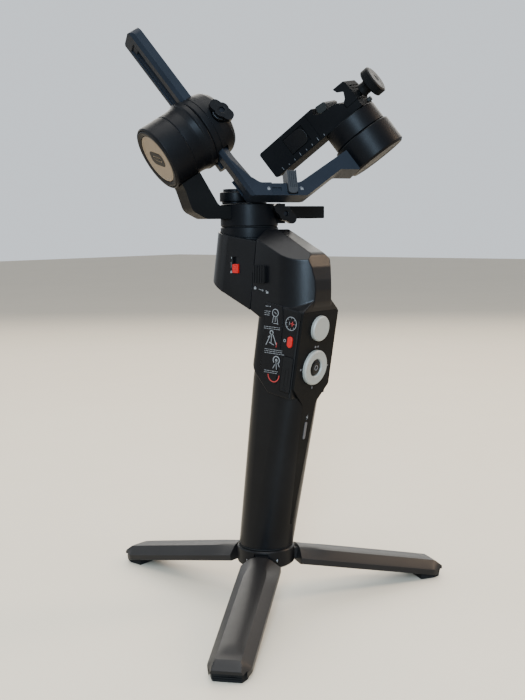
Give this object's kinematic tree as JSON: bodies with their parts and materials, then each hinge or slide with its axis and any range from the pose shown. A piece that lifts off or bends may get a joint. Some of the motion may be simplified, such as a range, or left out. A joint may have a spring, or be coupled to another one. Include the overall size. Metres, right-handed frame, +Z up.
{
  "type": "gimbal stabilizer",
  "caption": "Folding handheld stabilizer for a phone or small camera: tapered grip with controls, pan, roll and tilt motors on slotted arms, quick-release base and a mini tripod foot.",
  "frame": {"origin": "middle of the footprint of the whole object, on the floor it stands on", "axes": "+Z up; -Y is the side with the buttons, which the grip leans towards; -X is the side with the power button"},
  "size_m": [0.2292, 0.1986, 0.3618],
  "materials": {
    "black_satin": "satin moulded plastic",
    "black_matte": "fine matte moulded plastic",
    "leg_grey": "satin warm grey moulded plastic",
    "black_metal": "black anodised aluminium, satin",
    "black_rubber": "matte rubber",
    "steel": "turned steel",
    "brass": "turned brass",
    "badge_beige": "satin beige disc",
    "button_white": "satin off-white plastic",
    "signal_red": "satin red plastic",
    "pad_grey": "satin grey plastic",
    "light_clear": "glossy clear light strip",
    "board_green": "coated circuit board",
    "cell_blue": "shrink wrapped battery cell"
  },
  "bodies": {
    "stand": {"tripod_hub": "black_satin", "hub_grip_ring": "black_rubber", "tripod_screw": "steel", "leg_pin_1": "steel", "leg_pin_2": "steel", "leg_pin_3": "steel", "grip_thread_insert": "brass", "grip_shell": "black_satin", "battery_cell": "cell_blue", "control_panel": "black_matte", "battery_light": "light_clear", "main_board": "board_green", "upper_housing": "black_satin", "instruction_sticker": "black_satin", "fold_pivot_shaft": "steel"},
    "leg_one": {"leg_1": "leg_grey", "foot_pad_1": "black_rubber"},
    "leg_two": {"leg_2": "leg_grey", "foot_pad_2": "black_rubber"},
    "leg_three": {"leg_3": "leg_grey", "foot_pad_3": "black_rubber"},
    "fold_slider": {"fold_lock_slider": "black_matte"},
    "port_flap": {"port_cover": "black_matte"},
    "shutter": {"shutter_button": "button_white"},
    "centre": {"centre_button": "black_satin"},
    "ring": {"control_ring": "button_white"},
    "power": {"power_button": "signal_red"},
    "pan_base": {"pan_base_housing": "black_satin", "pan_motor_stator": "black_metal"},
    "pan_switch": {"pan_lock_switch": "signal_red"},
    "pan_head": {"pan_rotor_clamp": "black_satin", "pan_motor_shaft": "steel", "pan_top_cap": "black_metal"},
    "pan_knob": {"pan_clamp_knob": "black_satin"},
    "pan_arm": {"pan_arm": "black_satin", "roll_motor_housing": "black_satin", "roll_trim_ring": "black_matte", "roll_badge": "badge_beige"},
    "roll_head": {"roll_rotor": "steel", "roll_clamp": "black_satin"},
    "roll_knob": {"roll_clamp_knob": "black_satin"},
    "roll_arm": {"roll_arm": "black_satin", "tilt_motor_stator": "black_satin", "tilt_end_cap": "black_matte"},
    "latch": {"roll_arm_latch": "black_matte"},
    "camera_mount": {"tilt_rotor": "black_metal", "tilt_motor_shaft": "steel", "plate_base": "black_matte", "plate_tab": "black_satin", "fixed_jaw_pad": "pad_grey", "jaw_stop_screw": "steel"},
    "jaw": {"sliding_jaw": "black_matte"},
    "jaw_knob": {"jaw_clamp_knob": "black_metal"}
  },
  "joints": [
    {"name": "leg_one_fold", "type": "hinge", "parent": "stand", "child": "leg_one", "pos_m": [0, -0.01374, 0.0295], "axis": [-1, 0, 0], "range_deg": [0, 76]},
    {"name": "leg_two_fold", "type": "hinge", "parent": "stand", "child": "leg_two", "pos_m": [-0.01212, -0.03474, 0.0295], "axis": [0.5, -0.866, 0], "range_deg": [0, 76]},
    {"name": "leg_three_fold", "type": "hinge", "parent": "stand", "child": "leg_three", "pos_m": [0.01212, -0.03474, 0.0295], "axis": [0.5, 0.866, 0], "range_deg": [0, 76]},
    {"name": "fold_turn", "type": "hinge", "parent": "stand", "child": "pan_base", "pos_m": [0, -0.03481, 0.212], "axis": [0, -0.9914, -0.1308], "range_deg": [0, 150]},
    {"name": "fold_lock_slide", "type": "slide", "parent": "stand", "child": "fold_slider", "axis": [0, -1, 0], "range_m": [0, 0.003]},
    {"name": "pan_lock_slide", "type": "slide", "parent": "pan_base", "child": "pan_switch", "axis": [0, 0, 1], "range_m": [0, 0.004]},
    {"name": "port_flap_turn", "type": "hinge", "parent": "stand", "child": "port_flap", "pos_m": [-0.01825, -0.05642, 0.15287], "axis": [0, 0.165, -0.9863], "range_deg": [0, 90]},
    {"name": "shutter_press", "type": "slide", "parent": "stand", "child": "shutter", "axis": [0, 0.9863, 0.165], "range_m": [0, 0.0006], "stiffness_N_per_m": 1500},
    {"name": "centre_press", "type": "slide", "parent": "stand", "child": "centre", "axis": [0, 0.9863, 0.165], "range_m": [0, 0.0006], "stiffness_N_per_m": 1500},
    {"name": "ring_turn", "type": "hinge", "parent": "stand", "child": "ring", "pos_m": [0, -0.06799, 0.15539], "axis": [0, -0.9863, -0.165], "continuous": true},
    {"name": "power_press", "type": "slide", "parent": "stand", "child": "power", "axis": [1, 0, 0], "range_m": [0, 0.0006], "stiffness_N_per_m": 1500},
    {"name": "pan_turn", "type": "hinge", "parent": "pan_base", "child": "pan_head", "pos_m": [0, -0.01674, 0.248], "axis": [0, 0, -1], "continuous": true},
    {"name": "pan_knob_turn", "type": "hinge", "parent": "pan_head", "child": "pan_knob", "pos_m": [0.00701, -0.03737, 0.2492], "axis": [-0.4067, -0.9135, 0], "range_deg": [-8, 75]},
    {"name": "pan_arm_slide", "type": "slide", "parent": "pan_head", "child": "pan_arm", "axis": [-0.9135, 0.4067, 0], "range_m": [-0.005, 0.028]},
    {"name": "roll_turn", "type": "hinge", "parent": "pan_arm", "child": "roll_head", "pos_m": [-0.03424, -0.00149, 0.29651], "axis": [-0.7781, 0.3464, -0.524], "range_deg": [-2, 120]},
    {"name": "roll_knob_turn", "type": "hinge", "parent": "roll_head", "child": "roll_knob", "pos_m": [-0.03475, -0.02558, 0.30958], "axis": [-0.547, -0.7838, 0.2941], "range_deg": [-90, 180]},
    {"name": "roll_arm_slide", "type": "slide", "parent": "roll_head", "child": "roll_arm", "axis": [0.3088, -0.5155, -0.7993], "range_m": [-0.022, 0.0005]},
    {"name": "latch_slide", "type": "slide", "parent": "roll_arm", "child": "latch", "axis": [-0.8204, 0.5718, -0.0021], "range_m": [0, 0.009]},
    {"name": "tilt_turn", "type": "hinge", "parent": "roll_arm", "child": "camera_mount", "pos_m": [0.05418, -0.06052, 0.30367], "axis": [-0.3088, 0.5155, 0.7993], "range_deg": [-120, 120]},
    {"name": "jaw_slide", "type": "slide", "parent": "camera_mount", "child": "jaw", "axis": [0.1634, -0.7992, 0.5785], "range_m": [0, 0.0015]},
    {"name": "jaw_knob_turn", "type": "hinge", "parent": "camera_mount", "child": "jaw_knob", "pos_m": [0.05282, -0.06877, 0.32723], "axis": [0.1634, -0.7992, 0.5785], "range_deg": [0, 1060]}
  ],
  "couplings": [
    {"joint": "jaw_slide", "follows": "jaw_knob_turn", "m_per_rad": 0.000079577}
  ]
}
